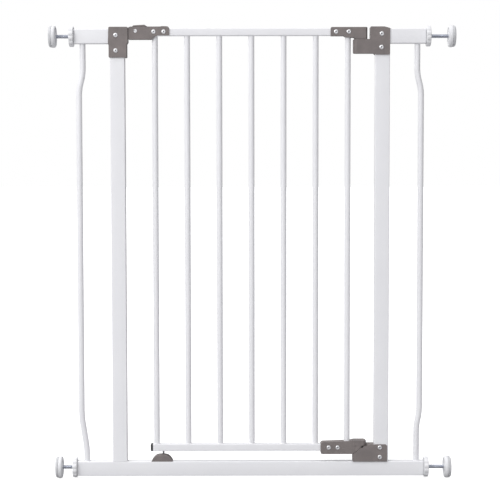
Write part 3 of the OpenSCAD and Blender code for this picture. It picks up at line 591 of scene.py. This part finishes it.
piece("tube_caps", plug_shells, ["tube_end_plugs"], satin_white, sharp=40)


# ---- Rivets, pins and the return spring ----

def rivet_heads(node):
    """Two domed heads with a centre hole for every rivet of a CAD node, each a profile turned
    about Y with a stub of the shank under it."""
    shells = []
    for low, high in lumps(node, RIVET_REACH):
        x, z = (low[0] + high[0]) / 2, (low[2] + high[2]) / 2
        r = (high[0] - low[0]) / 2 / MM
        profile = softened([(-3, 2.2, 0), (-3, r * 0.55, 0), (0.02, r * 0.55, 0), (0.02, r, 0.15),
                            (0.45, r, 0.3), (1.2, r * 0.72, 0.8), (1.2, r * 0.42, 0.25),
                            (0.9, r * 0.33, 0.1), (-0.9, r * 0.31, 0.1), (-0.9, 0.15, 0)],
                           steps=6)
        for way, face in ((-1, low[1]), (1, high[1])):
            shells.append((turned("y", (x, face - way * RIVET_HEAD, z), profile, way, 40), False))
    return shells


def rivet_cores(node):
    """The broken stem left in the hole of every rivet head: a short peg with a pointed end, turned
    about Y."""
    shells = []
    for low, high in lumps(node, RIVET_REACH):
        x, z = (low[0] + high[0]) / 2, (low[2] + high[2]) / 2
        r = (high[0] - low[0]) / 2 / MM * 0.3
        profile = softened([(-2.5, 0.2, 0), (-2.5, r, 0), (-0.2, r, 0.1), (0.35, 0.2, 0)])
        for way, face in ((-1, low[1]), (1, high[1])):
            shells.append((turned("y", (x, face - way * RIVET_HEAD, z), profile, way, 24), False))
    return shells


for holder in ("frame", "gate"):
    rivets = holder + "_rivets"
    piece(holder + "_rivet_heads", rivet_heads(rivets), [rivets], rivet_steel,
          sharp=50)
    piece(holder + "_rivet_cores", rivet_cores(rivets), [], dark_steel,
          sharp=50, body=holder)

low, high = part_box("lower_hinge_pin")
height, flange = (high.z - low.z) / MM, (high.x - low.x) / 2 / MM
profile = softened([(0, 0.3, 0), (0, flange, 0.3), (2, flange, 0.4), (2, 3, 0.4),
                    (height, 3, 0.9), (height, 0.3, 0)])
piece("hinge_stud", [(turned("z", ((low.x + high.x) / 2, 0, low.z), profile), False)],
      ["lower_hinge_pin"], zinc_plate)

low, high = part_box("lock_pin")
height, flange = (high.z - low.z) / MM, (high.x - low.x) / 2 / MM
profile = softened([(0, 0.3, 0), (0, 2, 0.7), (height - 2.5, 2, 0.3), (height - 2.5, flange, 0.3),
                    (height, flange, 0.5), (height, 0.3, 0)])
piece("lock_peg", [(turned("z", ((low.x + high.x) / 2, 0, low.z), profile), False)],
      ["lock_pin"], dark_steel)

low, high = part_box("latch_spring")
WIRE, TURNS = 0.8 * MM, 8
coil = (high.z - low.z) / 2 - WIRE / 2
t = np.linspace(0, 2 * np.pi * TURNS, TURNS * 28 + 1)
length = high.x - low.x - WIRE
path = np.stack([low.x + WIRE / 2 + length * t / t[-1], coil * np.sin(t),
                 (low.z + high.z) / 2 + coil * np.cos(t)], -1)
radial = np.stack([np.zeros_like(t), np.sin(t), np.cos(t)], -1)
forward = np.gradient(path, axis=0)
forward /= np.linalg.norm(forward, axis=1)[:, None]
spring = piece("return_coil", [swept(path, radial, np.cross(forward, radial), WIRE / 2, 12)],
               ["latch_spring"], zinc_plate)
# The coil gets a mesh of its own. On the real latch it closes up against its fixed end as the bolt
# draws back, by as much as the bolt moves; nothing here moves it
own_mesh(spring)


# ---- Moulded fittings: CAD solids with rounded edges ----

for half in ("front", "back"):
    for fitting in ("left_keeper", "upper_bracket", "lower_bracket", "hinge_arm", "hinge_foot",
                    "latch_cover"):
        moulded(f"{fitting}_{half}", moulded_taupe, 0.7 * MM)
moulded("lock_pin_keeper", moulded_taupe, 0.7 * MM)
moulded("thumb_slide", moulded_taupe, 0.6 * MM)
moulded("rail_end_cap", dark_nylon, 0.5 * MM)
moulded("hinge_cam_insert", dark_nylon, 0.3 * MM)
moulded("latch_bolt", dark_steel, 0.5 * MM)
moulded("latch_screw", rivet_steel, 0.2 * MM)
moulded("upper_hinge_bush", satin_white, 0.3 * MM)
moulded("upper_hinge_pin", zinc_plate, 0.3 * MM)


# ---- Thumb grips on the slide ----

low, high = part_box("thumb_slide")
GRIPS, GRIP_RADIUS, GRIP_HALF, GRIP_SUNK = 5, 0.9 * MM, 6.2 * MM, 0.25 * MM
FIRST_GRIP, GRIP_RUN = 3.7 * MM, 14.5 * MM
SLOPE_DROP, SLOPE_LENGTH = 1.4 * MM, 25 * MM
across = np.linspace(-1, 1, 25)
swell = GRIP_RADIUS * np.sqrt(np.maximum(1 - across ** 8, 0.02))
angle = np.arange(20) * 2 * np.pi / 20
shells = []
for number in range(GRIPS):
    x = low.x + FIRST_GRIP + GRIP_RUN * number / (GRIPS - 1)
    z = high.z - SLOPE_DROP * (1 - (x - low.x) / SLOPE_LENGTH) - GRIP_SUNK
    grid = np.stack(np.broadcast_arrays(x + swell[:, None] * np.cos(angle),
                                        GRIP_HALF * across[:, None],
                                        z + swell[:, None] * np.sin(angle) * 0.8), -1)
    shells.append((grid, False))
piece("thumb_grips", shells, [], moulded_taupe, body=BODY_OF["thumb_slide"])


# ---- Floor, light and camera ----

def softbox(name, place, target, size, power):
    """A square area light at place that faces target."""
    light = bpy.data.lights.new(name, "AREA")
    light.shape, light.size, light.energy = "SQUARE", size, power
    made = bpy.data.objects.new(name, light)
    made.location = place
    way = np.array(target) - np.array(place)
    flat = math.hypot(way[0], way[1])
    made.rotation_euler = (math.atan2(flat, -way[2]), 0, math.atan2(-way[0], way[1]))
    bpy.context.scene.collection.objects.link(made)


FLOOR_HALF = 30.0           # from the middle of the floor to its edges
FLOOR_DROP = 0.2 * MM       # from the lowest point down to the floor
FLOOR_GLOW = 0.82           # how bright the floor is of itself, seen straight from the camera
floor_z = cad_low.z - FLOOR_DROP
floor_mesh = bpy.data.meshes.new("floor")
floor_mesh.from_pydata([(x, y, floor_z) for x, y in FLOOR_HALF * np.array([
    [-1, -1], [1, -1], [1, 1], [-1, 1]])], [], [(0, 1, 2, 3)])
pale_floor = coating("pale_floor", (0.42, 0.42, 0.425), (0.40, 0.40, 0.405), 0.4, 2 * MM,
                     (0.7, 0.8), 0.01 * MM)
floor_nodes, floor_links = pale_floor.node_tree.nodes, pale_floor.node_tree.links
seen_straight = add(floor_nodes, "LightPath")
glow = add(floor_nodes, "Math", operation="MULTIPLY")
glow.inputs[1].default_value = FLOOR_GLOW
floor_nodes["Principled BSDF"].inputs["Emission Color"].default_value = (1, 1, 1, 1)
floor_links.new(seen_straight.outputs["Is Camera Ray"], glow.inputs[0])
floor_links.new(glow.outputs["Value"], floor_nodes["Principled BSDF"].inputs["Emission Strength"])
floor_mesh.materials.append(pale_floor)
floor = bpy.data.objects.new("floor", floor_mesh)
bpy.context.scene.collection.objects.link(floor)

centre = (0.0, 0.0, (cad_low.z + cad_high.z) / 2)
softbox("key", (-1.5, -1.6, 1.9), centre, size=0.9, power=15)
softbox("edge", (-0.8, 2.2, 1.5), centre, size=1.2, power=10)

# Radiance of the studio round the object: level, plus overhead times (height to the 4th power),
# less lean times X, plus front times how far the way points to the front, so that the light
# comes from above, the left and the front
LEVEL, OVERHEAD, LEAN, FRONT, LEAST = 0.38, 1.75, 0.60, 0.76, 0.02
world = bpy.data.worlds.new("studio")
world.use_nodes = True
nodes, links = world.node_tree.nodes, world.node_tree.links
nodes.clear()
out = add(nodes, "OutputWorld")
seen = add(nodes, "Background", Color=(1, 1, 1, 1), Strength=1.0)
lit = add(nodes, "Background", Color=(0.99, 0.99, 1.0, 1))
where = add(nodes, "TexCoord")
split = add(nodes, "SeparateXYZ")
upward = add(nodes, "Math", operation="MAXIMUM")
upward.inputs[1].default_value = 0.0
fourth = add(nodes, "Math", operation="POWER")
fourth.inputs[1].default_value = 4.0
above = add(nodes, "Math", operation="MULTIPLY_ADD")
above.inputs[1].default_value, above.inputs[2].default_value = OVERHEAD, LEVEL
leaning = add(nodes, "Math", operation="MULTIPLY_ADD")
leaning.inputs[1].default_value = -LEAN
ahead = add(nodes, "Math", operation="MINIMUM")
ahead.inputs[1].default_value = 0.0
frontal = add(nodes, "Math", operation="MULTIPLY_ADD")
frontal.inputs[1].default_value = -FRONT
least = add(nodes, "Math", operation="MAXIMUM")
least.inputs[1].default_value = LEAST
ray = add(nodes, "LightPath")
choose = add(nodes, "MixShader")
links.new(where.outputs["Generated"], split.inputs["Vector"])
links.new(split.outputs["Z"], upward.inputs[0])
links.new(upward.outputs["Value"], fourth.inputs[0])
links.new(fourth.outputs["Value"], above.inputs[0])
links.new(split.outputs["X"], leaning.inputs[0])
links.new(above.outputs["Value"], leaning.inputs[2])
links.new(split.outputs["Y"], ahead.inputs[0])
links.new(ahead.outputs["Value"], frontal.inputs[0])
links.new(leaning.outputs["Value"], frontal.inputs[2])
links.new(frontal.outputs["Value"], least.inputs[0])
links.new(least.outputs["Value"], lit.inputs["Strength"])
links.new(ray.outputs["Is Camera Ray"], choose.inputs["Fac"])
links.new(lit.outputs["Background"], choose.inputs[1])
links.new(seen.outputs["Background"], choose.inputs[2])
links.new(choose.outputs["Shader"], out.inputs["Surface"])
bpy.context.scene.world = world
bpy.context.scene.view_settings.view_transform = "Standard"

DOWNWARD, ROLL, ASIDE = 0.06371, 0.0015, -0.00079       # the camera's tilts, in radians
camera_data = bpy.data.cameras.new("camera")
camera_data.lens, camera_data.sensor_width = 104.401, 36.0
camera = bpy.data.objects.new("camera", camera_data)
camera.location = (-0.0026, -3.0, 0.6628)
camera.rotation_euler = (math.pi / 2 - DOWNWARD, ROLL, ASIDE)
bpy.context.scene.collection.objects.link(camera)
bpy.context.scene.camera = camera
